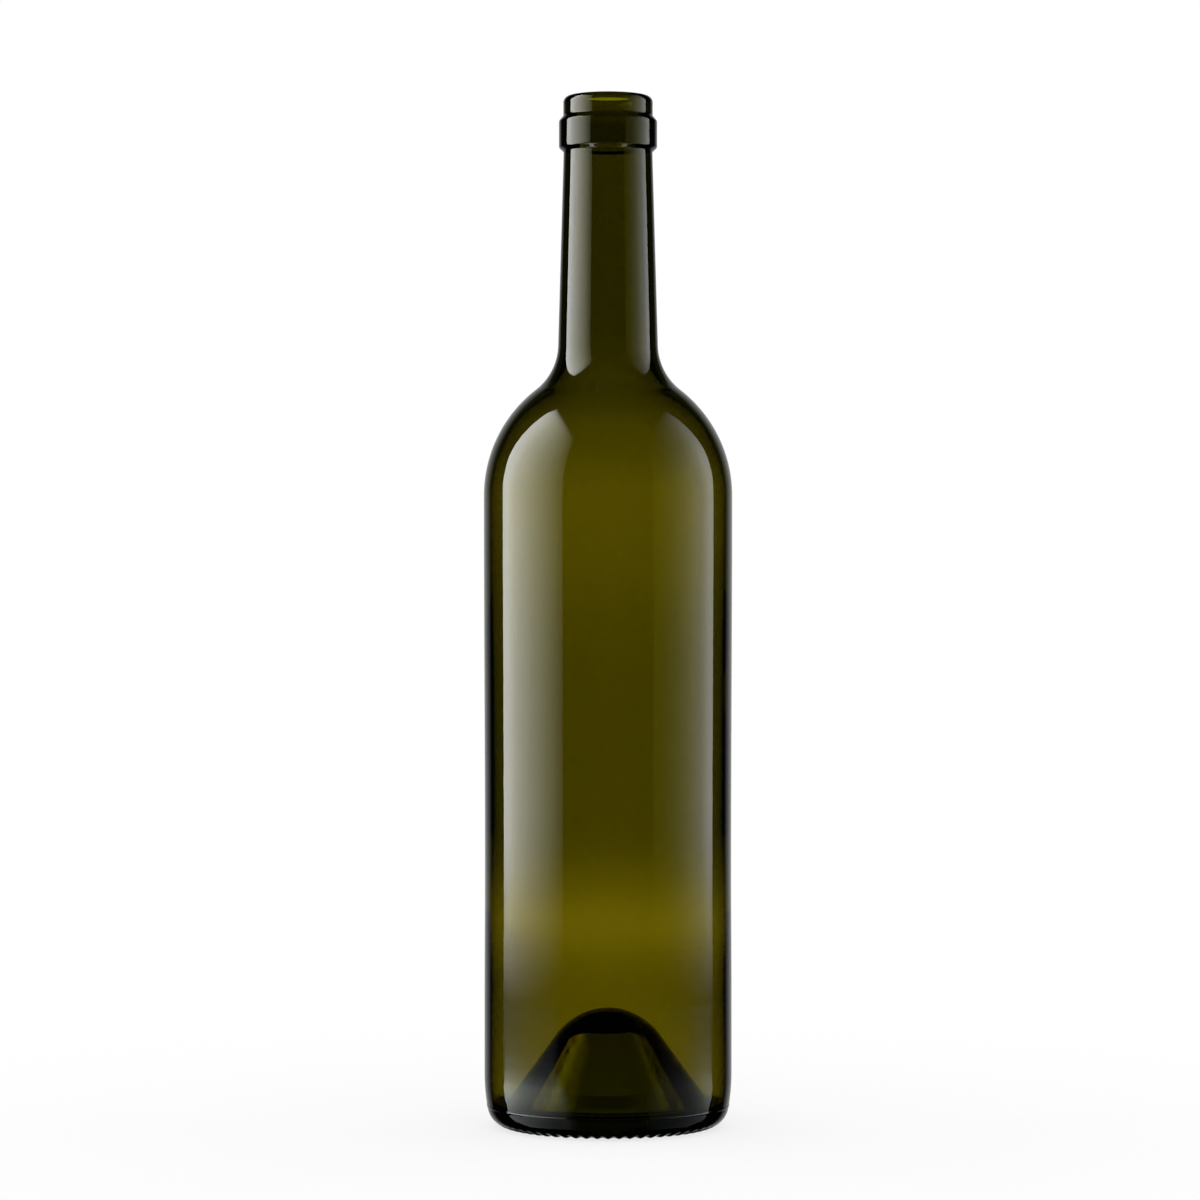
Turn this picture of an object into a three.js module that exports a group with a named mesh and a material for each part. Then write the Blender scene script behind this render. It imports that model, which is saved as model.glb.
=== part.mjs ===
// Empty wine bottle with straight sides and high shoulders, moulded in one piece of olive-green
// glass, with a band under the mouth and a deep push-up in the base.
// Millimetres, +Z up. The origin is the centre of the ring that the bottle stands on.
//
// The glass has no seam that comes apart. It is divided here into the zones that a glassmaker
// names. Each zone is a closed solid, and neighbours meet face to face on a level plane.

import * as THREE from 'three';

// Mouth, which takes a driven cork
const BORE_RADIUS = 9.5;
const BORE_DEPTH = 16; // length of the parallel bore
const BORE_FLARE = 5; // height over which the bore runs into the inside of the neck
const LIP_WALL = 3.9;
const LIP_HEIGHT = 5.9;
const LIP_ROUND = 2.2; // outer edge of the sealing surface
const MOUTH_ROUND = 1; // inner edge of the sealing surface
const SEALING_LAND = 0.5; // least flat width between those two rounds

// Band under the lip
const COLLAR_STEP = 1.3; // how far the band stands out from the lip
const COLLAR_TOP_SLOPE = 1.6; // height of the slope above the straight face
const COLLAR_FACE = 7.95;
const COLLAR_LOW_SLOPE = 1.5; // height of the slope below the straight face

// Neck
const NECK_LENGTH = 57.75; // from the hollow curve up to the band
const NECK_FOOT_RADIUS = 14.95;
const NECK_TAPER = THREE.MathUtils.degToRad(1.63);
const NECK_WALL = 4;
const NECK_FILLET = 17.5; // hollow curve from the neck into the shoulder

// Shoulder and body
const BODY_RADIUS = 37.2; // widest, where the shoulder begins
const SHOULDER_LEVEL = 188.8;
const SHOULDER_ARC = 40;
const LABEL_PANEL_LEVEL = 76; // where the sides are drawn in most
const LABEL_PANEL_INSET = 0.33;
const CONTACT_BAND_LEVEL = 40; // top of the full ring above the heel
const CONTACT_BAND_INSET = 0.2;

// Wall of the body, thin over the heel and thick over a soft wave, as air blew it
const FOOT_WALL = 2.3; // beside the trough
const CONTACT_BAND_WALL = 2.15;
const THIN_LEVEL = 60;
const THIN_WALL = 1.5;
const WAVE_LOW_LEVEL = 90;
const WAVE_HIGH_LEVEL = 130;
const WAVE_WALL = 2.7;
const SHOULDER_WALL = 2.1;

// Heel, from the side of the body to the standing ring
const HEEL_SIDE_ARC = 60; // long slow curve at the foot of the side
const HEEL_SIDE_TURN = THREE.MathUtils.degToRad(10.2);
const HEEL_ARC = 6.7; // quick curve under it

// Standing ring with radial bars
const BAR_COUNT = 60;
const BAR_DEPTH = 0.45;
const BAR_WEB = 0.35; // glass over the grooves
const BAR_REACH = 3.2; // from the middle of the ring to its inner edge
const BAR_LAND = 2.4; // flat length of each bar, along the radius
const BAR_CREST_SHARE = 0.3; // of each pitch
const BAR_GROOVE_SHARE = 0.42; // of each pitch

// Push-up: a trough and a dome inside the bottle, and a hollow under the dome
const FLOOR_GLASS = 5.7; // between the standing ring and the trough
const TROUGH_ARC = 2.6;
const DOME_LEVEL = 35.3; // top of the dome above the standing plane
const DOME_ARC = 19.5;
const DOME_ARC_LIMIT = 0.65; // of the trough's radius
const PUNT_WALL = 7.6; // between the tops of the dome and the hollow
const HOLLOW_FLAT = 6.6; // radius of the flat top of the hollow
const HOLLOW_ARC = 3.2; // edge of that flat
const FLARE_ARC = 9.4; // foot of the hollow
const HOLLOW_ARC_LIMIT = 0.4; // of the hollow's radius at its foot

const SEGMENTS = 48; // flats round each turned solid
const CHORD_ERROR = 0.06; // most that a flat may cut inside an arc
const GLASS = 0x3d3701;

// Outlines are lists of points (radius, level). Angles run from outwards towards upwards.
const QUARTER = Math.PI / 2;
const at = (radius, level) => new THREE.Vector2(radius, level);

function arc(centre, radius, from, to) {
  const step = 2 * Math.acos(1 - CHORD_ERROR / radius);
  const steps = Math.ceil(Math.abs(to - from) / step);
  return Array.from({ length: steps + 1 }, (_, i) => {
    const angle = THREE.MathUtils.lerp(from, to, i / steps);
    return at(centre.x + radius * Math.cos(angle), centre.y + radius * Math.sin(angle));
  });
}

/** Shoulder arc and the hollow fillet that touches it, rising from the body to the neck's foot. */
function shoulderCurve(bodyRadius, shoulderArc, fillet, footRadius) {
  const shoulder = at(bodyRadius - shoulderArc, SHOULDER_LEVEL);
  const across = footRadius + fillet * Math.cos(NECK_TAPER) - shoulder.x;
  const lean = Math.acos(across / (shoulderArc + fillet));
  const rise = (shoulderArc + fillet) * Math.sin(lean);
  const filletCentre = at(shoulder.x + across, SHOULDER_LEVEL + rise);
  return [
    ...arc(shoulder, shoulderArc, 0, lean),
    ...arc(filletCentre, fillet, Math.PI + lean, Math.PI + NECK_TAPER).slice(1),
  ];
}

function upTheNeck(foot, level) {
  return at(foot.x - (level - foot.y) * Math.tan(NECK_TAPER), level);
}

/** Bell rising from the lowest point of a foot arc, up a straight flank, to the edge of a flat top. */
function bell(topLevel, flat, topArc, foot, footArc) {
  const top = at(flat, topLevel - topArc);
  const footCentre = at(foot.x, foot.y + footArc);
  const across = footCentre.clone().sub(top);
  const flank = Math.atan2(across.y, across.x) - Math.asin((topArc + footArc) / across.length());
  return [
    ...arc(footCentre, footArc, -QUARTER, flank - QUARTER),
    ...arc(top, topArc, flank + QUARTER, QUARTER),
  ];
}

function radiusAt(outline, level) {
  const i = outline.findIndex((p, n) => n > 0 && p.y >= level);
  const [low, high] = [outline[i - 1], outline[i]];
  return THREE.MathUtils.mapLinear(level, low.y, high.y, low.x, high.x);
}

/** The stretch of a rising outline between two levels, with its ends on those levels. */
function between(outline, low, high) {
  return [
    at(radiusAt(outline, low), low),
    ...outline.filter((p) => p.y > low && p.y < high),
    at(radiusAt(outline, high), high),
  ];
}

// Outside of the glass, from the standing ring up
const contactRadius = BODY_RADIUS - CONTACT_BAND_INSET;
const panelRadius = BODY_RADIUS - LABEL_PANEL_INSET;
const lipRadius = BORE_RADIUS + LIP_WALL;
const collarRadius = lipRadius + COLLAR_STEP;
const heelReach = HEEL_SIDE_ARC - HEEL_ARC;
const sideRise = heelReach * Math.sin(HEEL_SIDE_TURN);
const sideCentre = at(contactRadius - HEEL_SIDE_ARC, HEEL_ARC + sideRise);
const heelCentre = at(sideCentre.x + heelReach * Math.cos(HEEL_SIDE_TURN), HEEL_ARC);
const outerShoulder = shoulderCurve(BODY_RADIUS, SHOULDER_ARC, NECK_FILLET, NECK_FOOT_RADIUS);
const neckFoot = outerShoulder.at(-1);
const collarFoot = neckFoot.y + NECK_LENGTH;
const collarFaceFoot = collarFoot + COLLAR_LOW_SLOPE;
const collarFaceTop = collarFaceFoot + COLLAR_FACE;
const lipFoot = collarFaceTop + COLLAR_TOP_SLOPE;
const height = lipFoot + LIP_HEIGHT;
const outside = [
  ...arc(heelCentre, HEEL_ARC, -QUARTER, -HEEL_SIDE_TURN),
  ...arc(sideCentre, HEEL_SIDE_ARC, -HEEL_SIDE_TURN, 0).slice(1),
  at(contactRadius, CONTACT_BAND_LEVEL),
  at(panelRadius, LABEL_PANEL_LEVEL),
  ...outerShoulder,
  upTheNeck(neckFoot, collarFoot),
  at(collarRadius, collarFaceFoot),
  at(collarRadius, collarFaceTop),
  at(lipRadius, lipFoot),
];

// Sealing surface: two rounds, which shrink together where the lip is too thin for them
const roundScale = Math.min(1, (LIP_WALL - SEALING_LAND) / (LIP_ROUND + MOUTH_ROUND));
const lipRound = LIP_ROUND * roundScale;
const mouthRound = MOUTH_ROUND * roundScale;
const lipEdge = arc(at(lipRadius - lipRound, height - lipRound), lipRound, 0, QUARTER);
const mouthEdge = arc(at(BORE_RADIUS + mouthRound, height - mouthRound), mouthRound, QUARTER, Math.PI);

// Inside of the glass, from the trough up to the mouth
const barTop = BAR_DEPTH + BAR_WEB;
const trough = at(contactRadius - FOOT_WALL - TROUGH_ARC, barTop + FLOOR_GLASS);
const troughTop = trough.y + TROUGH_ARC;
const innerShoulder = shoulderCurve(
  BODY_RADIUS - SHOULDER_WALL,
  SHOULDER_ARC - SHOULDER_WALL,
  NECK_FILLET + NECK_WALL,
  NECK_FOOT_RADIUS - NECK_WALL,
);
const boreFoot = height - BORE_DEPTH;
const insideAt = (level, wall) => at(radiusAt(outside, level) - wall, level);
const inside = [
  ...arc(at(trough.x, troughTop), TROUGH_ARC, -QUARTER, 0),
  insideAt(CONTACT_BAND_LEVEL, CONTACT_BAND_WALL),
  insideAt(THIN_LEVEL, THIN_WALL),
  insideAt(WAVE_LOW_LEVEL, WAVE_WALL),
  insideAt(WAVE_HIGH_LEVEL, WAVE_WALL),
  ...innerShoulder,
  upTheNeck(innerShoulder.at(-1), boreFoot - BORE_FLARE),
  at(BORE_RADIUS, boreFoot),
  at(BORE_RADIUS, height),
];

// Push-up, over and under
const ringFoot = at(heelCentre.x - BAR_REACH, barTop);
const domeArc = Math.min(DOME_ARC, DOME_ARC_LIMIT * trough.x);
const hollowArc = Math.min(HOLLOW_ARC, HOLLOW_ARC_LIMIT * ringFoot.x);
const flareArc = Math.min(FLARE_ARC, HOLLOW_ARC_LIMIT * ringFoot.x);
const hollowLevel = DOME_LEVEL - PUNT_WALL;
const dome = bell(DOME_LEVEL, 0, domeArc, trough, TROUGH_ARC);
const hollow = bell(hollowLevel, HOLLOW_FLAT, hollowArc, ringFoot, flareArc);

function glassMesh(name, geometry) {
  const material = new THREE.MeshStandardMaterial({ color: GLASS, roughness: 0.05, metalness: 0 });
  const mesh = new THREE.Mesh(geometry, material);
  mesh.name = name;
  return mesh;
}

/** Solid of revolution about Z from a section that runs up its outer side. */
function turned(name, section) {
  const geometry = new THREE.LatheGeometry(section, SEGMENTS);
  geometry.rotateX(QUARTER);
  return glassMesh(name, geometry);
}

/** Ring of glass between two levels, with the outside and the inside of the bottle as its faces. */
function wallZone(name, low, high) {
  const face = between(outside, low, high);
  return turned(name, [...face, ...between(inside, low, high).reverse(), face[0]]);
}

function mouthLip() {
  const foot = at(lipRadius, lipFoot);
  return turned('mouth_lip', [foot, ...lipEdge, ...mouthEdge, at(BORE_RADIUS, lipFoot), foot]);
}

/** Ring under the trough: the heel curve outside, the trough on top and the flare of the hollow. */
function heel() {
  const face = between(outside, barTop, troughTop);
  const troughWall = between(inside, trough.y, troughTop).reverse();
  const troughFlank = between(dome, trough.y, troughTop).slice(1);
  const flare = between(hollow, barTop, troughTop).reverse();
  return turned('heel', [...face, ...troughWall, ...troughFlank, ...flare, face[0]]);
}

function punt() {
  const under = between(hollow, troughTop, hollowLevel).reverse();
  return turned('punt', [at(0, hollowLevel), ...under, ...between(dome, troughTop, DOME_LEVEL)]);
}

/** Flat ring whose underside is cut into radial bars, as one closed band of sections. */
function bearingRing() {
  const ringOut = radiusAt(outside, barTop);
  const section = (lift) => [
    at(ringFoot.x, barTop),
    at(heelCentre.x - BAR_LAND / 2, lift),
    at(heelCentre.x + BAR_LAND / 2, lift),
    at(ringOut, barTop),
  ];
  const pitch = (2 * Math.PI) / BAR_COUNT;
  const crest = (BAR_CREST_SHARE * pitch) / 2;
  const foot = ((1 - BAR_GROOVE_SHARE) * pitch) / 2;
  const stations = Array.from({ length: BAR_COUNT }, (_, bar) => bar * pitch).flatMap((middle) => [
    { angle: middle - foot, lift: BAR_DEPTH },
    { angle: middle - crest, lift: 0 },
    { angle: middle + crest, lift: 0 },
    { angle: middle + foot, lift: BAR_DEPTH },
  ]);
  const corners = section(0).length;
  const positions = [];
  const triangles = [];
  stations.forEach(({ angle, lift }, station) => {
    const here = station * corners;
    const next = ((station + 1) % stations.length) * corners;
    section(lift).forEach((point, corner) => {
      const after = (corner + 1) % corners;
      positions.push(point.x * Math.cos(angle), point.x * Math.sin(angle), point.y);
      triangles.push(here + corner, next + after, here + after);
      triangles.push(here + corner, next + corner, next + after);
    });
  });
  const geometry = new THREE.BufferGeometry();
  geometry.setAttribute('position', new THREE.Float32BufferAttribute(positions, 3));
  geometry.setIndex(triangles);
  geometry.computeVertexNormals();
  return glassMesh('bearing_ring', geometry);
}

const bottle = new THREE.Group();
bottle.name = 'wine_bottle';
bottle.add(
  mouthLip(),
  wallZone('collar_ring', collarFoot, lipFoot),
  wallZone('neck', neckFoot.y, collarFoot),
  wallZone('shoulder', SHOULDER_LEVEL, neckFoot.y),
  wallZone('body_wall', troughTop, SHOULDER_LEVEL),
  heel(),
  bearingRing(),
  punt(),
);

export default bottle;
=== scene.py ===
# %% [markdown]
# # A wine bottle in dark olive glass
#
# The real bottle is one piece of glass. It was blown in a mould of two halves that closed on a
# bottom plate, and the mouth was pressed first. This lesson turns its outline into one smooth wall
# of glass, gives that wall the colour it has in the mass, and lights it as in a studio.
#
# The sizes come from a imported CAD model, which is loaded first and never moved.

# %% Load the imported bottle
import math

import bpy
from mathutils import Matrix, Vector, noise


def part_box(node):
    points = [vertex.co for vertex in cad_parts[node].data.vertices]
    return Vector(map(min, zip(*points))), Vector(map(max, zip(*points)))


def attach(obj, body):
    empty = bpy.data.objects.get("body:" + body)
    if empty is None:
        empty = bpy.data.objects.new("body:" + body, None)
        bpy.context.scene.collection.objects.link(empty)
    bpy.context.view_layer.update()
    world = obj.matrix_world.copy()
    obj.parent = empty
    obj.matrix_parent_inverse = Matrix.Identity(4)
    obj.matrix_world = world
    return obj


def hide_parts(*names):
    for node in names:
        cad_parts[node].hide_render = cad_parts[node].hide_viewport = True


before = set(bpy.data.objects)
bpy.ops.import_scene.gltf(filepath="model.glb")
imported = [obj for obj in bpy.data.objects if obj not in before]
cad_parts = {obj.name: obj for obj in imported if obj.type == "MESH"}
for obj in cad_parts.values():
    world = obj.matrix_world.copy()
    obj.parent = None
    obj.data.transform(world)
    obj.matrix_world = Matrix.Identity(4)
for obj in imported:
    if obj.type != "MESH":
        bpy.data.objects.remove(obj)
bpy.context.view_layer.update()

MM = 0.001

# %% [markdown]
# ## Sizes from the frame
#
# The CAD model divides the glass into zones, and every zone is a ring of flats. Its points lie on
# the true outline, so a radius can be read wherever a zone has a ring of points. Outlines in this
# lesson are lists of points (radius, level) in millimetres.

# %% Read radii and levels
SAME_RING = 0.01  # points of one ring differ by less than this


def radii_at(node, level):
    """Inner and outer radius of the ring of points of a node that lies nearest to a level."""
    points = [vertex.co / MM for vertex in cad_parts[node].data.vertices]
    nearest = min(points, key=lambda point: abs(point.z - level)).z
    ring = [math.hypot(point.x, point.y) for point in points if abs(point.z - nearest) < SAME_RING]
    return min(ring), max(ring)


def levels_of(node):
    low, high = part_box(node)
    return low.z / MM, high.z / MM


lip_foot, height = levels_of("mouth_lip")
collar_foot = levels_of("collar_ring")[0]
shoulder_level, neck_foot = levels_of("shoulder")
trough_top = levels_of("body_wall")[0]
ring_top = levels_of("bearing_ring")[1]
dome_top = levels_of("punt")[1]
body_radius = radii_at("shoulder", shoulder_level)[1]
print(f"height {height:.2f}, neck from {neck_foot:.2f}, shoulder from {shoulder_level:.2f}")
print(f"body {2 * body_radius:.2f} across, dome up to {dome_top:.2f}")

# %% [markdown]
# ## Drawing with arcs and rounded corners
#
# A mould maker cuts a bottle mould from straight lines and arcs that touch. Two small helpers draw
# the same way. The first lays points along an arc, closer together where the arc is tight. The
# second takes a line with corners and rounds each one, with a point on either side of the round so
# that the smooth shading of the flat next to it stays flat. A Bezier curve with a Screw modifier
# could be turned as well, but here every row of points has a known place.

# %% Arc
QUARTER = math.pi / 2
CHORD_ERROR = 0.006  # most that a step may cut inside an arc


def arc(centre, radius, start, end, error=CHORD_ERROR):
    step = 2 * math.acos(1 - error / radius)
    steps = max(3, math.ceil(abs(end - start) / step))
    angles = [start + (end - start) * i / steps for i in range(steps + 1)]
    return [(centre[0] + radius * math.cos(a), centre[1] + radius * math.sin(a)) for a in angles]


print("a 40 mm quarter arc takes", len(arc((0, 0), 40, 0, QUARTER)), "points")

# %% Rounded corners
GUARD = 0.25  # from the end of a round to the point beside it


def rounded(corners):
    """A line through corners (radius, level, round). The first and the last corner stay sharp."""
    line, arcs = [corners[0][:2]], []
    for before, corner, after in zip(corners, corners[1:], corners[2:]):
        here, size = Vector(corner[:2]), corner[2]
        back = (Vector(before[:2]) - here).normalized()
        on = (Vector(after[:2]) - here).normalized()
        half = back.angle(on) / 2
        reach = size / math.tan(half)
        centre = here + (back + on).normalized() * size / math.sin(half)
        first = here + back * reach - centre
        last = here + on * reach - centre
        start = math.atan2(first.y, first.x)
        turn = math.remainder(math.atan2(last.y, last.x) - start, 2 * math.pi)
        arcs.append(arc(centre, size, start, start + turn))
    for turned in arcs + [[corners[-1][:2]]]:
        straight = Vector(turned[0]) - Vector(line[-1])
        guard = straight * min(1 / 3, GUARD / straight.length)
        line += [tuple(Vector(line[-1]) + guard), tuple(Vector(turned[0]) - guard)]
        line += turned
    return line


corner = rounded([(0, 0, 0), (10, 0, 2), (10, 10, 0)])
print("a square corner with a 2 mm round takes", len(corner), "points")

# %% [markdown]
# ## Values between stations
#
# A wall that gets thicker, or a light that fades, is given by its values at a few stations. Between
# them it can run straight or ease in and out. A curve drawn in the editor would do that too, but a
# short list shows its numbers. Glass gets the eased way, because a kink in its surface would show as a
# line in the highlights. Most lights get the straight one.

# %% Blends
def ease(low, high, share):
    share = min(max(share, 0), 1)
    return low + (high - low) * share * share * (3 - 2 * share)


def even(low, high, share):
    return low + (high - low) * min(max(share, 0), 1)


def along(stations, level, blend=ease):
    """Value at a level, between stations (level, value) that rise."""
    for (low, from_value), (high, to_value) in zip(stations, stations[1:]):
        if level <= high:
            return blend(from_value, to_value, (level - low) / (high - low))
    return stations[-1][1]


quarter_way = [blend(0, 1, 1 / 4) for blend in (ease, even)]
print("a quarter of the way, eased and straight:", quarter_way)

# %% [markdown]
# ## The outside: heel and side
#
# The side looks straight, but the label panel is drawn in by up to a third of a millimetre, so that
# labels don't rub when bottles touch. Under it the heel turns in two arcs, a long slow one and a quick
# one, because a sharper edge would chip. A cylinder with a bevel would be near enough from far away,
# but the highlights on glass show every change of curve, so both arcs have their own radius.

# %% Heel
HEEL_ARC = 6.7
HEEL_SIDE_ARC = 60
HEEL_SIDE_TURN = math.radians(10.2)
CONTACT_BAND_LEVEL = 40

contact_radius = radii_at("body_wall", CONTACT_BAND_LEVEL)[1]
side_rise = (HEEL_SIDE_ARC - HEEL_ARC) * math.sin(HEEL_SIDE_TURN)
side_centre = (contact_radius - HEEL_SIDE_ARC, HEEL_ARC + side_rise)
heel_middle = sum(radii_at("bearing_ring", 0)) / 2
heel_centre = (heel_middle, HEEL_ARC)
heel_quick = arc(heel_centre, HEEL_ARC, -QUARTER, -HEEL_SIDE_TURN)
side_slow = arc(side_centre, HEEL_SIDE_ARC, -HEEL_SIDE_TURN, 0)
print(f"heel middle {heel_middle:.2f}, contact band {2 * contact_radius:.2f} across")

# %% Side
LABEL_PANEL_LEVEL = 76
SIDE_STEP = 5

panel_radius = radii_at("body_wall", LABEL_PANEL_LEVEL)[1]
side_stations = [
    (CONTACT_BAND_LEVEL, contact_radius),
    (LABEL_PANEL_LEVEL, panel_radius),
    (shoulder_level, body_radius),
]
side_foot = side_slow[-1][1]
side_steps = round((shoulder_level - side_foot) / SIDE_STEP)
side_shares = [i / side_steps for i in range(1, side_steps)]
side_levels = [side_foot + (shoulder_level - side_foot) * share for share in side_shares]
side = [(along(side_stations, level), level) for level in side_levels]
print(f"label panel {2 * panel_radius:.2f} across, side from {side_foot:.2f} in {side_steps} steps")

# %% [markdown]
# ## The seam of the bottom plate
#
# The side of the mould and its bottom plate meet low on the heel, and glass pressed into that joint
# leaves a fine ridge all round. A bump in the material would only shade it, so it gets rows of points
# of its own, in the shape of a small rounded wave that runs out on both sides.

# %% Ridge on the heel
PLATE_SEAM_LEVEL = 6.45
PLATE_SEAM_HEIGHT = 0.15
PLATE_SEAM_HALF_WIDTH = 0.2
PLATE_SEAM_REACH = 3 * PLATE_SEAM_HALF_WIDTH  # the ridge is as good as gone this far from its crest
SEAM_ROWS = 24


def ridge_point(offset):
    """Point of the slow heel arc, raised by the ridge, at a level given from the crest."""
    level = PLATE_SEAM_LEVEL + offset
    radius = side_centre[0] + math.sqrt(HEEL_SIDE_ARC ** 2 - (level - side_centre[1]) ** 2)
    rise = PLATE_SEAM_HEIGHT * math.exp(-(offset / PLATE_SEAM_HALF_WIDTH) ** 2)
    return radius + rise, level


def with_plate_seam(line):
    offsets = [PLATE_SEAM_REACH * (2 * i / SEAM_ROWS - 1) for i in range(SEAM_ROWS + 1)]
    ridge = [ridge_point(offset) for offset in offsets]
    below = [point for point in line if point[1] < ridge[0][1]]
    above = [point for point in line if point[1] > ridge[-1][1]]
    return below + ridge + above


print(f"seam {PLATE_SEAM_LEVEL} above the table, at radius {ridge_point(0)[0]:.2f}")

# %% [markdown]
# ## The outside: shoulder and neck
#
# High round shoulders hold back what settles in old wine. The shoulder is one arc, and a hollow
# fillet takes it into the neck, which tapers so that the mould opens freely. The fillet's centre is
# worked out from the two arcs that it touches. A Bevel modifier could round the corner as well, but
# then neither the radius nor the level where the neck starts would be exact.

# %% Shoulder and neck
SHOULDER_ARC = 40
NECK_FILLET = 17.5
NECK_STEPS = 14

foot_radius = radii_at("neck", neck_foot)[1]
neck_top_radius = radii_at("neck", collar_foot)[1]
neck_taper = math.atan2(foot_radius - neck_top_radius, collar_foot - neck_foot)
across = foot_radius + NECK_FILLET * math.cos(neck_taper) - (body_radius - SHOULDER_ARC)
lean = math.acos(across / (SHOULDER_ARC + NECK_FILLET))
fillet_level = shoulder_level + (SHOULDER_ARC + NECK_FILLET) * math.sin(lean)
fillet_centre = (body_radius - SHOULDER_ARC + across, fillet_level)
shoulder = arc((body_radius - SHOULDER_ARC, shoulder_level), SHOULDER_ARC, 0, lean)
shoulder += arc(fillet_centre, NECK_FILLET, math.pi + lean, math.pi + neck_taper)[1:]
neck = [
    (foot_radius + (neck_top_radius - foot_radius) * i / NECK_STEPS,
     neck_foot + (collar_foot - neck_foot) * i / NECK_STEPS)
    for i in range(1, NECK_STEPS)
]
print(f"the shoulder turns in by {math.degrees(lean):.1f} degrees")
print(f"the neck tapers by {math.degrees(neck_taper):.2f} degrees")

# %% [markdown]
# ## The mouth
#
# The band under the lip gives a corkscrew's lever something to hold. The mouth was pressed from hot
# glass, so its edges are rounded: the lip over nearly its full width, the band's edges by about a
# millimetre, and the corner where the slope under the band meets the neck by less. Inside, the bore
# is parallel for the cork and then opens into the neck. Bevels on a sharp mesh would also round it.
# One line with rounded corners was chosen, from the neck outside, over the lip, to the neck inside,
# because the light in so small a rim depends on every tenth of a millimetre.

# %% Radii and levels of the mouth
BORE_DEPTH = 16
BORE_FLARE = 5

band_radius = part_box("collar_ring")[1].x / MM
band_levels = sorted(
    vertex.co.z / MM
    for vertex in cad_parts["collar_ring"].data.vertices
    if math.hypot(vertex.co.x, vertex.co.y) / MM > band_radius - SAME_RING
)
bore_radius, lip_radius = radii_at("mouth_lip", lip_foot)
flare_level = height - BORE_DEPTH - BORE_FLARE
flare_radius = radii_at("neck", flare_level)[0]
neck_wall = neck_top_radius + (collar_foot - flare_level) * math.tan(neck_taper) - flare_radius
print(f"band {2 * band_radius:.2f} across, lip {2 * lip_radius:.2f}, bore {2 * bore_radius:.2f}")

# %% Band, lip and bore
BAND_TOP_ROUND = 0.9
BAND_LOW_ROUND = 0.9
BAND_FOOT_ROUND = 0.4
BAND_FOOT_LIFT = 0.2  # the slope under the band ends this much above the CAD model's zone
LIP_FOOT_ROUND = 0.7
LIP_ROUND = 1.95
MOUTH_ROUND = 1.85
BORE_ROUND = 4
NECK_RUN = 10  # the line goes on this far into the neck, to give its last corner a direction

# Both ends only give directions, so they and the points beside them are left out again.
mouth = rounded([
    (*neck[-1], 0),
    (neck_top_radius, collar_foot + BAND_FOOT_LIFT, BAND_FOOT_ROUND),
    (band_radius, band_levels[0], BAND_LOW_ROUND),
    (band_radius, band_levels[-1], BAND_TOP_ROUND),
    (lip_radius, lip_foot, LIP_FOOT_ROUND),
    (lip_radius, height, LIP_ROUND),
    (bore_radius, height, MOUTH_ROUND),
    (bore_radius, height - BORE_DEPTH, BORE_ROUND),
    (flare_radius, flare_level, BORE_ROUND),
    (flare_radius + NECK_RUN * math.tan(neck_taper), flare_level - NECK_RUN, 0),
])[2:-2]
print(len(mouth), "points from the foot of the band, over the lip, into the neck")

# %% [markdown]
# ## The inside of the wall
#
# The inside of a blown bottle was shaped by air, not by the mould. While the first bubble hangs before
# the final blow, glass settles, and the finished wall is thicker above and thinner below a soft band
# called the settle wave. It shows in the colour: the glass is darkest where the wall is thick. A
# Solidify modifier gives one thickness everywhere. So the inside is the outside moved inwards, square
# to it, by a thickness that changes with the level.

# %% Wall thickness
THIN_LEVEL = 60  # the side is thinnest here
THICK_LEVELS = (90, 130)  # the side is thickest between these
WALL_LEVELS = (trough_top, CONTACT_BAND_LEVEL, THIN_LEVEL, *THICK_LEVELS, shoulder_level)
SHOULDER_MIDDLE = (210, 2.55)  # level and thickness
NECK_LEVEL = 240

outer_wall = side_slow[1:] + side + shoulder + neck


def wall_at(level):
    """Thickness of the side at a level where the CAD model has a ring of points inside."""
    outer = min(outer_wall, key=lambda point: abs(point[1] - level))[0]
    return outer - radii_at("body_wall", level)[0]


WALL = [(level, wall_at(level)) for level in WALL_LEVELS]
WALL += [SHOULDER_MIDDLE, (NECK_LEVEL, neck_wall)]
print("wall in mm at the levels:", [(round(level), round(thick, 2)) for level, thick in WALL])

# %% Inside line
BORE_GAP = 6  # at least, from the flare under the bore to the first row of the neck's inside


def moved_in(line):
    moved = []
    for before, point, after in zip(line, line[1:], line[2:]):
        forward = (Vector(after) - Vector(before)).normalized()
        inward = Vector((-forward.y, forward.x))
        moved.append(tuple(Vector(point) + inward * along(WALL, point[1])))
    return moved


inside = moved_in(outer_wall)
inner_wall = [point for point in inside if trough_top < point[1] < flare_level - BORE_GAP]
inner_wall.reverse()
print(f"{len(inner_wall)} points from level {inner_wall[0][1]:.1f} down to {inner_wall[-1][1]:.1f}")

# %% [markdown]
# ## The push-up in the base
#
# The base is pushed up into a deep hollow, which the trade calls a punt. Seen from inside it is a
# dome with a narrow trough round its foot, and from below it is a bell with a small flat top, where
# the plunger ended. Both could be sculpted. They are drawn instead as a top, a straight flank and a
# foot arc that touch, so that the thickness of the glass between them is known.

# %% Dome inside
DOME_ARC = 19.5
TROUGH_ARC = 2.6
DOME_STEP = 2


def stepped(start, end, step):
    steps = max(1, round(math.dist(start, end) / step))
    return [tuple(Vector(start).lerp(Vector(end), i / steps)) for i in range(steps + 1)]


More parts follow.
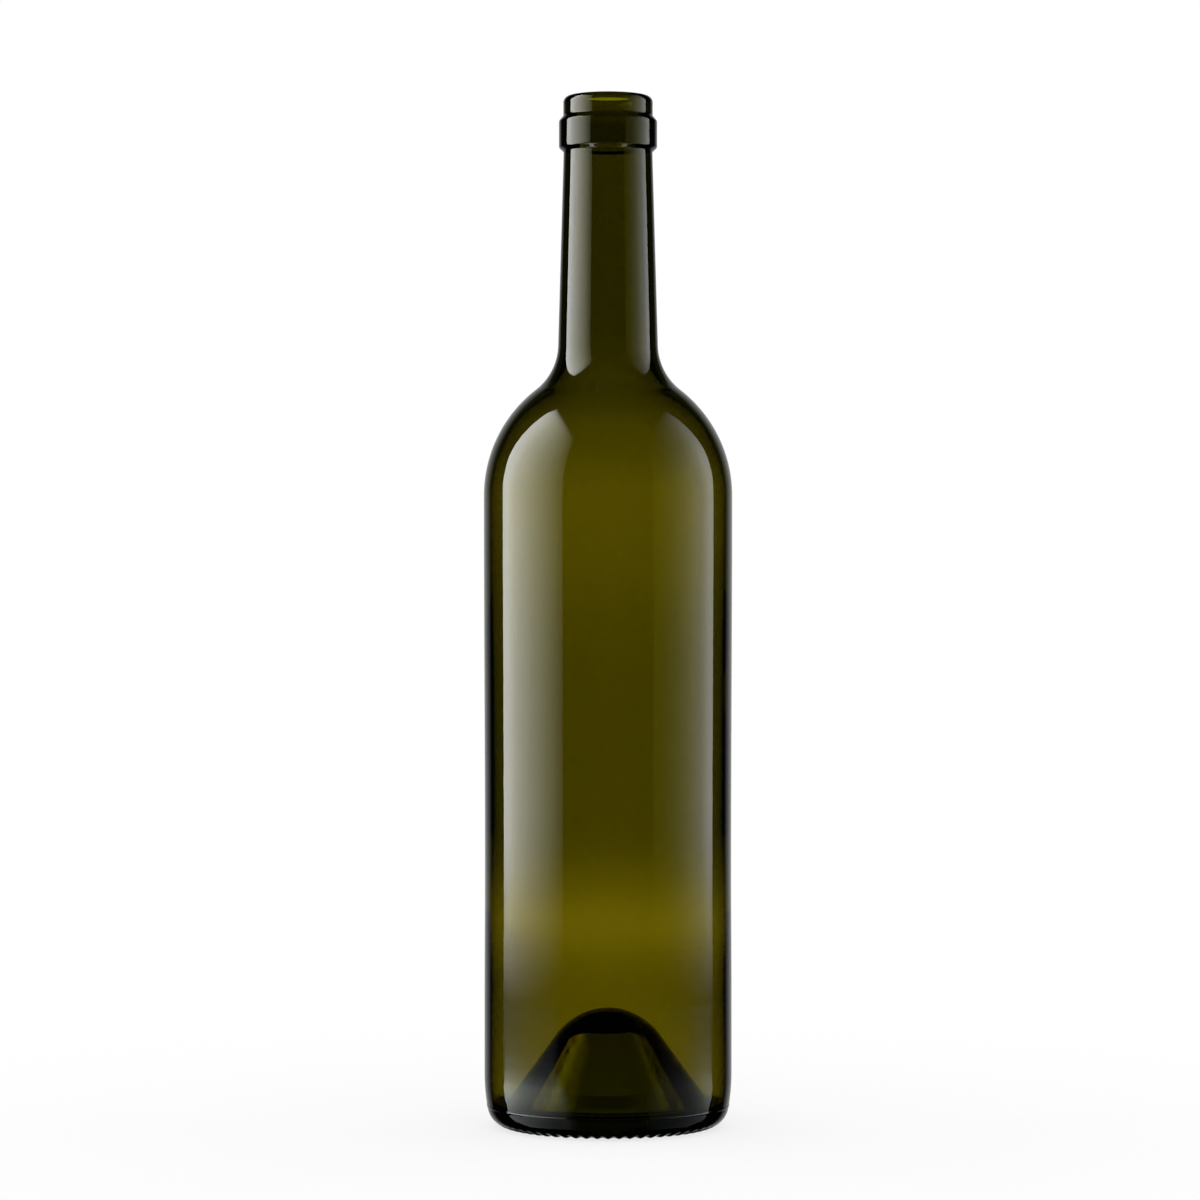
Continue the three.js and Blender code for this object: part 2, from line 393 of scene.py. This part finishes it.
def bell(top_level, flat, top_arc, foot, foot_arc, step):
    """Outline from the lowest point of a foot arc, up a straight flank, over a top with a flat."""
    across, rise = foot[0] - flat, foot[1] + foot_arc - (top_level - top_arc)
    flank = math.atan2(rise, across) - math.asin((top_arc + foot_arc) / math.hypot(across, rise))
    low = arc((foot[0], foot[1] + foot_arc), foot_arc, -QUARTER, flank - QUARTER)
    high = arc((flat, top_level - top_arc), top_arc, flank + QUARTER, QUARTER)
    middle = stepped(high[-1], (0, top_level), step)
    return low + stepped(low[-1], high[0], step)[1:-1] + high + middle[1:]


inner_foot = radii_at("body_wall", trough_top)[0]
trough_foot = (inner_foot - TROUGH_ARC, trough_top - TROUGH_ARC)
trough = arc((trough_foot[0], trough_top), TROUGH_ARC, 0, -QUARTER)
dome = bell(dome_top, 0, DOME_ARC, trough_foot, TROUGH_ARC, DOME_STEP)[1:-1]
print(f"trough at radius {trough_foot[0]:.2f}, dome {dome_top:.1f} high")

# %% Bell below
HOLLOW_FLAT = 6.6  # radius of the flat top of the hollow
HOLLOW_ARC = 3.2
FLARE_ARC = 9.4
PUNT_GLASS = 7.6
HOLLOW_STEP = 0.46  # close enough for the wrinkles

ring_inside = radii_at("bearing_ring", ring_top)[0]
hollow_foot = (ring_inside, ring_top)
hollow = bell(dome_top - PUNT_GLASS, HOLLOW_FLAT, HOLLOW_ARC, hollow_foot, FLARE_ARC, HOLLOW_STEP)
print(f"hollow {dome_top - PUNT_GLASS:.1f} high, {len(hollow)} points")

# %% [markdown]
# ## One closed skin of glass
#
# The outline now runs from the top of the hollow, over the standing ring, up the outside, over the
# lip, down the inside and up the dome. Turned round the axis it becomes one closed skin, which is
# what a renderer needs to bend light through glass.
#
# The standing ring has sixty radial bars, so that hot bottles don't crack on a cold belt and a wet
# one doesn't cling. They could be an array of small solids, but in glass each would show its own
# walls, so the skin itself rises and falls.

# %% Standing ring
RING_ROWS = 8
RING_INNER_SLOPE = 2.0  # the ring comes down from the hollow over this
BAR_OUTER_ROWS = 2.2  # so far outside the ring the rows still have points enough for bars

ring = []
for i in range(1, RING_ROWS):
    reach = i / RING_ROWS
    radius = ring_inside + (heel_middle - ring_inside) * reach
    ring.append((radius, ease(ring_top, 0, (radius - ring_inside) / RING_INNER_SLOPE)))
bar_end = radii_at("bearing_ring", ring_top)[1] + BAR_OUTER_ROWS
heel_low = [point for point in heel_quick if point[0] < bar_end]
heel_high = [point for point in heel_quick if point[0] >= bar_end]
ring += heel_low
print(len(ring), "rows on the standing ring")

# %% Bars
BARS = 60
BAR_DEPTH = 0.45
BAR_INNER_RUN = 1.6  # the grooves between the bars deepen over this at their inner ends
BAR_FULL_REACH = 2.6  # they keep their depth this far out from the middle of the heel
BAR_OUTER_RUN = 2.4  # and run out over this
BAR_FULLNESS = 0.8  # below 1 the grooves are wider than the bars


def barred(angle, radius, level):
    """Lifts the glass between the bars. The bars are rounded, and run out at both ends."""
    wave = 0.5 - 0.5 * math.cos(BARS * angle)
    inner = ease(0, 1, (radius - ring_inside) / BAR_INNER_RUN)
    outer = ease(1, 0, (radius - heel_middle - BAR_FULL_REACH) / BAR_OUTER_RUN)
    return radius, level + BAR_DEPTH * wave ** BAR_FULLNESS * inner * outer


bar_spacing = 2 * math.pi * heel_middle / BARS
print(f"{BARS} bars, {bar_spacing:.2f} mm apart")

# %% [markdown]
# ## Wrinkles and waves
#
# Glass that the mould didn't touch, or touched cold, isn't perfectly smooth. The hollow was pressed
# by a cold plunger, which left it wrinkled, and the inside of the wall waves a little. A bump in the
# material would be quicker, but these are real shapes, made with a noise that is the same every time,
# so that they also bend the edge of what is seen through them.

# %% Small unevenness of the surfaces
WRINKLE_WIDTH = 0.9
WRINKLE_HEIGHT = 0.07
FOLD_WIDTH = 3.6
FOLD_HEIGHT = 0.035
WAVE_WIDTH = 26
WAVE_HEIGHT = 0.05


def uneven(angle, radius, level, width, size):
    spot = Vector((radius * math.cos(angle), radius * math.sin(angle), level)) / width
    return size * noise.noise(spot)


def wrinkled(angle, radius, level):
    push = uneven(angle, radius, level, WRINKLE_WIDTH, WRINKLE_HEIGHT)
    push += uneven(angle, radius, level, FOLD_WIDTH, FOLD_HEIGHT)
    return radius + push * min(1, radius), level


def waved(angle, radius, level):
    return radius + uneven(angle, radius, level, WAVE_WIDTH, WAVE_HEIGHT), level


def plain(angle, radius, level):
    return radius, level


print(f"wrinkles {WRINKLE_WIDTH} mm wide, waves {WAVE_WIDTH} mm")

# %% [markdown]
# ## The stretches of the outline
#
# The whole outline is now put together. Each stretch has its line, the number of points round the
# axis, and what is done to its surface. Bars and wrinkles take more points than a smooth wall: the
# ring and the flank of the hollow have three times as many. The smooth wall could have them too, but
# then the mesh would be much heavier and look the same.

# %% Stretches
SIDES = 160
RING_SIDES = 3 * SIDES

hollow_top = [point for point in hollow[-2::-1] if point[0] < HOLLOW_FLAT + HOLLOW_ARC]
hollow_flank = hollow[-2 - len(hollow_top)::-1]
stretches = [
    (hollow_top, SIDES, wrinkled),
    (hollow_flank, RING_SIDES, wrinkled),
    (ring, RING_SIDES, barred),
    (with_plate_seam(heel_high + side_slow[1:]), SIDES, plain),
    (side + shoulder + neck, SIDES, plain),
    (mouth, SIDES, plain),
    (inner_wall, SIDES, waved),
    (trough + dome[:-1], SIDES, waved),
]
print("rows in all:", sum(len(stretch[0]) for stretch in stretches))

# %% [markdown]
# ## Turning the outline
#
# A mould is turned on a lathe, and so is this skin: each point of the outline becomes a ring of
# points, and faces join each ring to the next. A Screw modifier would do it too, but not with a
# different number of points on some rings, or with bars and wrinkles in others.

# %% Rings of points
def turn_outline():
    points, rows = [(0, 0, hollow[-1][1] * MM)], []
    for line, sides, touch in stretches:
        for radius, level in line:
            rows.append([len(points) + i for i in range(sides)])
            for i in range(sides):
                angle = 2 * math.pi * i / sides
                away, up = touch(angle, radius, level)
                points.append((away * math.cos(angle) * MM, away * math.sin(angle) * MM, up * MM))
    points.append((0, 0, dome[-1][1] * MM))
    return points, rows


points, rows = turn_outline()
print(f"{len(points)} points in {len(rows)} rings")

# %% Faces between the rings
def joined(low, high):
    """Faces between two rows, which have the same number of points or three for one."""
    faces = []
    fewer = min(len(low), len(high))
    for i in range(fewer):
        after = (i + 1) % fewer
        if len(low) == len(high):
            faces.append((low[i], low[after], high[after], high[i]))
        elif len(low) < len(high):
            a, b, c, d = (high[(3 * i + k) % len(high)] for k in range(4))
            faces += [(low[i], b, a), (low[i], low[after], c, b), (low[after], d, c)]
        else:
            a, b, c, d = (low[(3 * i + k) % len(low)] for k in range(4))
            faces += [(a, b, high[i]), (b, c, high[after], high[i]), (c, d, high[after])]
    return faces


faces = [face for low, high in zip(rows, rows[1:]) for face in joined(low, high)]
faces += [(0, rows[0][(i + 1) % SIDES], rows[0][i]) for i in range(SIDES)]
faces += [(len(points) - 1, rows[-1][i], rows[-1][(i + 1) % SIDES]) for i in range(SIDES)]
print(len(faces), "faces")

# %% Mesh of the bottle
skin = bpy.data.meshes.new("bottle_glass")
skin.from_pydata(points, [], faces)
skin.validate()
skin.shade_smooth()
bottle = bpy.data.objects.new("bottle_glass", skin)
bpy.context.scene.collection.objects.link(bottle)
print("made", bottle.name, "with", len(skin.polygons), "faces")

# %% [markdown]
# ## Colours and nodes
#
# Colours are written as on a paint chart, in sRGB. One function turns them into the linear values
# that Blender's sockets want, and another adds a node with its settings and links, so that a material
# reads as a short list of what it is made of. Nodes could also be wired by hand in the editor, but
# then nobody could see the numbers in one place.

# %% Colour and node helpers
def linear(hex_colour):
    """Linear red, green, blue and alpha of an sRGB colour, by the curve of the sRGB standard."""
    shares = [int(hex_colour[i:i + 2], 16) / 255 for i in (1, 3, 5)]
    return (*[c / 12.92 if c <= 0.04045 else ((c + 0.055) / 1.055) ** 2.4 for c in shares], 1)


def add_node(tree, kind, sockets=None, **settings):
    """A node with its settings. A socket is given a value or the output that feeds it."""
    node = tree.nodes.new(kind)
    for name, value in settings.items():
        setattr(node, name, value)
    for name, value in (sockets or {}).items():
        if isinstance(value, bpy.types.NodeSocket):
            tree.links.new(value, node.inputs[name])
        else:
            node.inputs[name].default_value = value
    return node


def new_material(name):
    material = bpy.data.materials.new(name)
    material.use_nodes = True
    material.node_tree.nodes.clear()
    return material, material.node_tree


print("middle grey of a paint chart, linear:", round(linear("#808080")[0], 3))

# %% [markdown]
# ## Soda-lime bottle glass
#
# Iron and chromium in the melt make bottle glass olive. The colour isn't painted on: light loses
# more of its blue with every millimetre that it travels. A tinted surface alone would be as dark in
# the thin wall as in the thick lip. So a Volume Absorption inside the skin takes most of the light
# away, and the lip and base look nearly black while the thin wall glows.
#
# The surface has a pale tint as well, for what a real bottle loses each time that light passes one
# of its surfaces. It was cooled slowly from a red heat and is fire-polished, so its roughness is 0.

# %% Glass
GLASS_IOR = 1.52
SURFACE_TINT = "#DACBA0"
MASS_COLOUR = "#E1E347"
ABSORPTION_PER_METRE = 1600  # for light of a colour that MASS_COLOUR doesn't hold

# Fire-polished glass: the eye sees sharp reflections on top and a deep, clear colour below them.
glass, tree = new_material("soda_lime_bottle_glass")
surface = add_node(tree, "ShaderNodeBsdfPrincipled", {
    "Base Color": linear(SURFACE_TINT),
    "Roughness": 0.0,
    "IOR": GLASS_IOR,
    "Transmission Weight": 1.0,
})
mass = add_node(tree, "ShaderNodeVolumeAbsorption", {
    "Color": linear(MASS_COLOUR),
    "Density": ABSORPTION_PER_METRE,
})
add_node(tree, "ShaderNodeOutputMaterial", {
    "Surface": surface.outputs[0], "Volume": mass.outputs[0],
})
skin.materials.append(glass)
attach(bottle, "root")
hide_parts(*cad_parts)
print("glass of IOR", GLASS_IOR, "replaces", len(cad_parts), "zones")

# %% [markdown]
# ## White background
#
# Glass shows what stands behind it and what is mirrored in it. Light that comes straight through the
# bottle shows the white background, from wherever it is seen. Light that was mirrored on the way
# shows the studio instead, which is dark but for a backdrop, two soft boxes and the table beside the
# bottle. Light Path tells the two apart: its Glossy Depth counts how often a ray was mirrored. A
# modelled studio with black flags would do the same, but only for one place of the camera.

# %% Kinds of ray
NOT_MIRRORED = 0.5  # a ray's Glossy Depth is below this until it is mirrored

world = bpy.data.worlds.new("white_world")
world.use_nodes = True
tree = world.node_tree
tree.nodes.clear()
path = add_node(tree, "ShaderNodeLightPath")
through = add_node(tree, "ShaderNodeMath", {
    0: path.outputs["Is Camera Ray"], 1: path.outputs["Is Transmission Ray"],
}, operation="MAXIMUM")
seen = add_node(tree, "ShaderNodeMath", {
    0: through.outputs[0], 1: path.outputs["Is Glossy Ray"],
}, operation="MAXIMUM")
mirrored = add_node(tree, "ShaderNodeMath", {
    0: path.outputs["Glossy Depth"], 1: NOT_MIRRORED,
}, operation="GREATER_THAN")
print(len(tree.nodes), "nodes tell the rays apart")

# %% White world
WHITE = 1.0  # a glow of this strength renders as white
FILL = 1.0  # what the background throws on the floor
BACKDROP_GLOW = 0.55
STUDIO_GLOW = 0.005
BACKDROP_EDGE = 0.77  # cosine of the angle from straight behind at which the backdrop ends

heading = add_node(tree, "ShaderNodeTexCoord")
parts = add_node(tree, "ShaderNodeSeparateXYZ", {0: heading.outputs["Generated"]})
backdrop = add_node(tree, "ShaderNodeMapRange", {
    "Value": parts.outputs["Y"], "From Min": BACKDROP_EDGE, "From Max": 1.0,
    "To Min": STUDIO_GLOW, "To Max": BACKDROP_GLOW,
})
shown = add_node(tree, "ShaderNodeMix", {0: mirrored.outputs[0], 2: WHITE, 3: backdrop.outputs[0]})
light = add_node(tree, "ShaderNodeMix", {0: seen.outputs[0], 2: FILL, 3: shown.outputs[0]})
sky = add_node(tree, "ShaderNodeBackground", {
    "Color": linear("#FFFFFF"), "Strength": light.outputs[0],
})
add_node(tree, "ShaderNodeOutputWorld", {"Surface": sky.outputs[0]})
bpy.context.scene.world = world
print("white world, fill", FILL)

# %% [markdown]
# ## White floor
#
# The bottle stands on a white table without a visible edge. A photographer sweeps paper up behind
# the object for that. Here a large floor is lit near the bottle, where it keeps a soft shadow, and
# glows plain white further out, so that it meets the background without a line.

# %% White paper
SHADOW_REACH = (0.08, 0.4)  # the floor is lit up to the first radius and glows white from the second
FLOOR_GLOW = 0.75  # three quarters of its white is a glow, so the shadow stays faint
FLOOR_GREY = "#888888"  # the last quarter is what the paper sends back

# Matt white paper: the eye sees no reflection in it, only the soft shadow.
white, tree = new_material("white_matt_paper")
path = add_node(tree, "ShaderNodeLightPath")
mirrored = add_node(tree, "ShaderNodeMath", {
    0: path.outputs["Glossy Depth"], 1: NOT_MIRRORED,
}, operation="GREATER_THAN")
spot = add_node(tree, "ShaderNodeNewGeometry")
reach = add_node(tree, "ShaderNodeVectorMath", {0: spot.outputs["Position"]}, operation="LENGTH")
far = add_node(tree, "ShaderNodeMapRange", {
    "Value": reach.outputs["Value"], "From Min": SHADOW_REACH[0], "From Max": SHADOW_REACH[1],
}, interpolation_type="SMOOTHSTEP")
paint = add_node(tree, "ShaderNodeBsdfDiffuse", {"Color": linear(FLOOR_GREY)})
glow = add_node(tree, "ShaderNodeEmission", {"Strength": FLOOR_GLOW})
lit = add_node(tree, "ShaderNodeAddShader", {0: paint.outputs[0], 1: glow.outputs[0]})
plain_white = add_node(tree, "ShaderNodeEmission", {"Strength": WHITE})
pale = add_node(tree, "ShaderNodeMixShader", {
    0: far.outputs[0], 1: lit.outputs[0], 2: plain_white.outputs[0],
})
dark = add_node(tree, "ShaderNodeEmission", {"Strength": STUDIO_GLOW})
both = add_node(tree, "ShaderNodeMixShader", {
    0: mirrored.outputs[0], 1: pale.outputs[0], 2: dark.outputs[0],
})
add_node(tree, "ShaderNodeOutputMaterial", {"Surface": both.outputs[0]})
print("paper made of", len(tree.nodes), "nodes")

# %% White floor
FLOOR_HALF = 4  # metres
FLOOR_DROP = 0.05 * MM


def stage_mesh(name, spots, quads, material):
    mesh = bpy.data.meshes.new(name)
    mesh.from_pydata(spots, [], quads)
    mesh.materials.append(material)
    made = bpy.data.objects.new(name, mesh)
    bpy.context.scene.collection.objects.link(made)
    return made


around = [(-1, -1), (1, -1), (1, 1), (-1, 1)]
corners = [(x * FLOOR_HALF, y * FLOOR_HALF, -FLOOR_DROP) for x, y in around]
floor = stage_mesh("floor", corners, [(0, 1, 2, 3)], white)
floor.visible_glossy = False
print("floor", 2 * FLOOR_HALF, "m across")

# %% [markdown]
# ## Soft boxes
#
# Two tall soft boxes stand left and right. Each is brightest at its rear edge and fades towards the
# front, the foot and the top, which draws the long highlights with one sharp and one soft side. Area
# lamps have one brightness all over. So each box is a sheet that carries its brightness point by
# point, and that only mirrored rays see.
#
# The values of a box are its side, the brightness at its front edge and from the depth full_at
# backwards, the bend of the rise between them, the share of blue at the front, and the brightness at
# heights. Sizes are in metres here. Two more values set the painted light on the table on its side
# and are used further down: its brightness by degrees from the front, and its fade by millimetres
# from the axis.

# %% Size of the boxes
PANEL_X = 0.4
PANEL_FRONT = -0.455
PANEL_REAR = [  # depth of the rear edge at heights
    (0, 0.145), (0.2, 0.147), (0.33, 0.16), (0.38, 0.158), (0.5, 0.135), (0.7, 0.108), (0.8, 0.085),
]
PANEL_TOP = 0.82
PANEL_FOOT = -0.08
print(f"boxes {PANEL_TOP - PANEL_FOOT:.2f} m high, {2 * PANEL_X} m apart")

# %% Light of the boxes
REAR_BLUE = 0.96  # blue in the light at the rear edge, with red and green at 1

LEFT = {
    "side": -1, "front": 0.5, "rear": 5.6, "full_at": 0.07, "bend": 1.3, "front_blue": 0.66,
    "heights": [(0, 0.05), (0.038, 0.52), (0.056, 0.9), (0.075, 0.99), (0.15, 1.06), (0.3, 1.14),
                (0.56, 1.14), (0.62, 1.1), (0.7, 0.95), (0.76, 0.7), (0.79, 0.35), (0.81, 0)],
    "fade": [(37, 0.7), (80, 1.15), (125, 1), (150, 0.72), (185, 0.34), (240, 0.17), (300, 0.115)],
    "table": [(17, 0.25), (30, 0.32), (40, 0.65), (50, 1.0), (60, 1.25), (70, 1.65), (80, 2.25),
              (90, 2.65)],
}
RIGHT = {
    "side": 1, "front": 0.2, "rear": 2.4, "full_at": 0.09, "bend": 2.6, "front_blue": 0.1,
    "heights": [(0, 0.055), (0.038, 0.5), (0.056, 0.84), (0.075, 1), (0.15, 1.03), (0.3, 1.06),
                (0.35, 0.99), (0.4, 0.85), (0.45, 0.68), (0.5, 0.58), (0.62, 0.32), (0.76, 0)],
    "fade": [(37, 1.6), (80, 1.15), (125, 1), (150, 0.9), (185, 0.55), (240, 0.33), (300, 0.22)],
    "table": [(17, 0.02), (30, 0.05), (45, 0.1), (55, 0.16), (65, 0.24), (75, 0.42), (82, 0.7),
              (90, 1.0)],
}


def share_of(value, low, high):
    return min(max((value - low) / (high - low), 0), 1)


def cloth_light(box, y):
    """Red, green and blue of the light that a panel gives at a depth y."""
    share = share_of(y, PANEL_FRONT, box["full_at"])
    level = box["front"] + (box["rear"] - box["front"]) * share ** box["bend"]
    return level, level, level * (box["front_blue"] + (REAR_BLUE - box["front_blue"]) * share)


for box in (LEFT, RIGHT):
    at_axis = [round(part, 2) for part in cloth_light(box, 0)]
    print("side", box["side"], "light beside the bottle:", at_axis)

# %% [markdown]
# ## Cloth that glows
#
# The front of a soft box is white cloth with a lamp behind it. Its brightness could be an image, but
# a colour on each point of the mesh is enough, because it changes slowly. Light that only passed
# through the glass doesn't show the cloth. So the sides of the bottle, where glass bends light most,
# show the white background, and the boxes are seen as reflections alone.

# %% Diffuser cloth
# Lit diffuser cloth: the eye sees it only as the pale, soft-edged highlights on the glass.
glowing, tree = new_material("lit_diffuser_cloth")
path = add_node(tree, "ShaderNodeLightPath")
straight = add_node(tree, "ShaderNodeMath", {
    0: path.outputs["Glossy Depth"], 1: NOT_MIRRORED,
}, operation="LESS_THAN")
hidden = add_node(tree, "ShaderNodeMath", {
    0: straight.outputs[0], 1: path.outputs["Is Transmission Ray"],
}, operation="MULTIPLY")
level = add_node(tree, "ShaderNodeAttribute", attribute_name="glow")
shine = add_node(tree, "ShaderNodeEmission", {"Color": level.outputs["Color"], "Strength": WHITE})
clear = add_node(tree, "ShaderNodeBsdfTransparent")
cloth = add_node(tree, "ShaderNodeMixShader", {
    0: hidden.outputs[0], 1: shine.outputs[0], 2: clear.outputs[0],
})
add_node(tree, "ShaderNodeOutputMaterial", {"Surface": cloth.outputs[0]})
print("cloth made of", len(tree.nodes), "nodes")

# %% [markdown]
# ## Two sheets of it
#
# A sheet is a grid of cells. One function gives the place of each point and another its light, so the
# same helper also makes the table and the card below. A subdivided plane with painted colours would
# look the same, but its numbers would be hidden in the mesh. The rows of a box are closer together
# near its foot, where its light changes most.

# %% Sheet of cloth
PANEL_COLUMNS = 24
PANEL_ROWS = 60


def glowing_sheet(name, spot_at, light_at, material=glowing):
    """A sheet of cells. Both functions take shares from 0 to 1 along its two sides."""
    wide = PANEL_COLUMNS + 1
    shares = [
        (i / PANEL_COLUMNS, j / PANEL_ROWS)
        for j in range(PANEL_ROWS + 1)
        for i in range(wide)
    ]
    corners = [j * wide + i for j in range(PANEL_ROWS) for i in range(PANEL_COLUMNS)]
    quads = [(c, c + 1, c + wide + 1, c + wide) for c in corners]
    sheet = stage_mesh(name, [spot_at(*share) for share in shares], quads, material)
    glow = sheet.data.attributes.new("glow", "FLOAT_COLOR", "POINT")
    for spot, share in zip(glow.data, shares):
        spot.color = (*light_at(*share), 1)
    sheet.visible_camera = False
    sheet.visible_diffuse = False
    return sheet


print("a sheet has", PANEL_COLUMNS * PANEL_ROWS, "cells")

# %% Soft boxes left and right
def soft_box(name, box):
    def spot(i, j):
        z = PANEL_FOOT + (PANEL_TOP - PANEL_FOOT) * j * j
        return box["side"] * PANEL_X, even(PANEL_FRONT, along(PANEL_REAR, z, even), i), z

    def light(i, j):
        x, y, z = spot(i, j)
        return [part * along(box["heights"], z, even) for part in cloth_light(box, y)]

    return glowing_sheet(name, spot, light)


soft_box("left_soft_box", LEFT)
soft_box("right_soft_box", RIGHT)
print("two soft boxes at", PANEL_X, "m")

# %% [markdown]
# ## Painted light on the table beside the bottle
#
# The heel curves in, so it mirrors the table and not the boxes. The table is bright where the boxes
# light it and dark in front of and behind the bottle. A real bounce of light would be noisy in the
# glass, so that light is painted on one more sheet with a brightness of its own, just above the
# floor, which only mirrored rays see. Its edges are given by distance from the axis and angle from the
# front, and it fades with both. Near the bottle its back edge comes forward: there the bottle's
# shadow is painted in.

# %% Lit table beside the bottle
TABLE_NEAR = 36.2  # millimetres from the axis
TABLE_FAR = 400
TABLE_FRONT = [(36, 14), (45, 17), (60, 23), (100, 29), (150, 34), (200, 41), (400, 41)]
# The back edge comes forward near the bottle, where the bottle's shadow is painted in.
TABLE_BACK = [
    (36, 45), (40, 61), (45, 69), (54, 78), (72, 89), (107, 98), (150, 101), (220, 103.5), (400, 106),
]
TABLE_FRONT_FADE = 9  # degrees
TABLE_TINT = (0.9, 0.98, 1.0)
TABLE_DROP = 0.02 * MM  # under the bottle, but above the floor


def painted_table_light(name, box):
    """Painted light on the table on one side, between edges given as (distance, degrees from the
    front).
    """
    def place(i, j):
        reach = TABLE_NEAR + (TABLE_FAR - TABLE_NEAR) * j * j
        front, back = along(TABLE_FRONT, reach, even), along(TABLE_BACK, reach, even)
        return front + (back - front) * i, reach, front

    def spot(i, j):
        turn, reach, front = place(i, j)
        angle = math.radians(turn)
        return box["side"] * reach * math.sin(angle) * MM, -reach * math.cos(angle) * MM, -TABLE_DROP

    def light(i, j):
        turn, reach, front = place(i, j)
        level = along(box["table"], turn, even) * along(box["fade"], reach, even)
        level *= ease(0, 1, (turn - front) / TABLE_FRONT_FADE)
        return [part * level for part in TABLE_TINT]

    return glowing_sheet(name, spot, light)


painted_table_light("left_lit_table", LEFT)
painted_table_light("right_lit_table", RIGHT)
print("lit table up to", TABLE_FAR, "mm from the bottle")

# %% [markdown]
# ## A card under the push-up
#
# The glass of the base is so thick that hardly any of the background's light comes through it. In a
# studio a small bright card under the bottle helps. A lamp in the hollow would show as a lamp, so a
# card is bent into it, a little away from the glass. No lamp lights the card: its light is painted,
# brightest on its left and right, where the soft boxes would light it, and darker in a band at its
# front and back. It is seen through the glass only, and it shows how deep the hollow is.

# %% Shape of the card
CARD_GAP = 0.35
CARD_LEAST_LEVEL = 0.02  # it stays this much above the table

card_line = [
    (radius - CARD_GAP, max(CARD_LEAST_LEVEL, level - CARD_GAP))
    for radius, level in hollow
    if radius > CARD_GAP
]
card_line.append((0, hollow[-1][1] - CARD_GAP))


def card_spot(i, j):
    radius, up = card_line[round(j * (len(card_line) - 1))]
    angle = 2 * math.pi * i
    return radius * math.cos(angle) * MM, radius * math.sin(angle) * MM, up * MM


print("card", round(card_line[-1][1], 1), "mm high")

# %% Light of the card
# All of the card's glow is painted light: it glows by itself, and no lamp reaches it.
CARD_LOW = 8  # level
CARD_GLOW = 3.5  # at that level, towards the front and the back
CARD_FADE = 9.2  # the glow falls to about a third over each such rise
CARD_SIDE_GLOW = (36, 14)  # left and right
CARD_SIDE_FADE = (12, 27)  # that glow falls between these levels to a share of itself
CARD_TOP_SHARE = 0.4
CARD_FOOT = (2, 5)  # the card is dark up to the first level and lit from the second
# Between these levels the card's front and back are darker: painted shade.
CARD_PAINTED_SHADE = (5.6, 9.0)  # levels between which its front and back are dimmed
CARD_PAINTED_SHADE_DIM = 0.6
CARD_PAINTED_SHADE_SIDES = (0.3, 0.63)  # the dimming ends between these, as shares of the way to the side
CARD_SIDE_FOCUS = 12  # how narrow the glow on its sides is


def card_light(i, j):
    up = card_line[round(j * (len(card_line) - 1))][1]
    across = math.cos(2 * math.pi * i)
    sideways = abs(across) ** CARD_SIDE_FOCUS
    side_glow = CARD_SIDE_GLOW[across > 0] * even(1, CARD_TOP_SHARE, share_of(up, *CARD_SIDE_FADE))
    level = CARD_GLOW * math.exp((CARD_LOW - up) / CARD_FADE) * (1 + side_glow * sideways)
    level *= share_of(up, *CARD_FOOT)
    if CARD_PAINTED_SHADE[0] < up < CARD_PAINTED_SHADE[1]:
        level *= 1 - CARD_PAINTED_SHADE_DIM * ease(1, 0, share_of(abs(across), *CARD_PAINTED_SHADE_SIDES))
    return level, level, level


brightest = max(card_light(1 / 2, j / PANEL_ROWS)[0] for j in range(PANEL_ROWS + 1))
print("brightest on the left:", round(brightest))

# %% Card in the hollow
# A card that glows with painted light, as a brightly lit white card would: the eye sees it as an olive
# glow in the push-up.
painted_light_card, tree = new_material("card_with_painted_light")
level = add_node(tree, "ShaderNodeAttribute", attribute_name="glow")
shine = add_node(tree, "ShaderNodeEmission", {"Color": level.outputs["Color"], "Strength": WHITE})
add_node(tree, "ShaderNodeOutputMaterial", {"Surface": shine.outputs[0]})
card = glowing_sheet("card_under_base", card_spot, card_light, painted_light_card)
print("made", card.name)

# %% [markdown]
# ## Camera
#
# The bottle is seen level, from a little above half its height, through a long lens. A short lens
# from close by would fill the frame too, but it would show the mouth from below and the base from
# above, and it would make the sides bend away.

# %% Camera
FOCAL_LENGTH = 117
SENSOR_WIDTH = 36
CAMERA_AT = (-2.41 * MM, -1168.6 * MM, 157.49 * MM)

lens = bpy.data.cameras.new("camera")
lens.lens = FOCAL_LENGTH
lens.sensor_width = SENSOR_WIDTH
camera = bpy.data.objects.new("camera", lens)
camera.location = CAMERA_AT
camera.rotation_euler = (QUARTER, 0, 0)
bpy.context.scene.collection.objects.link(camera)
bpy.context.scene.camera = camera
bpy.context.scene.view_settings.view_transform = "Standard"
print("camera at", CAMERA_AT)
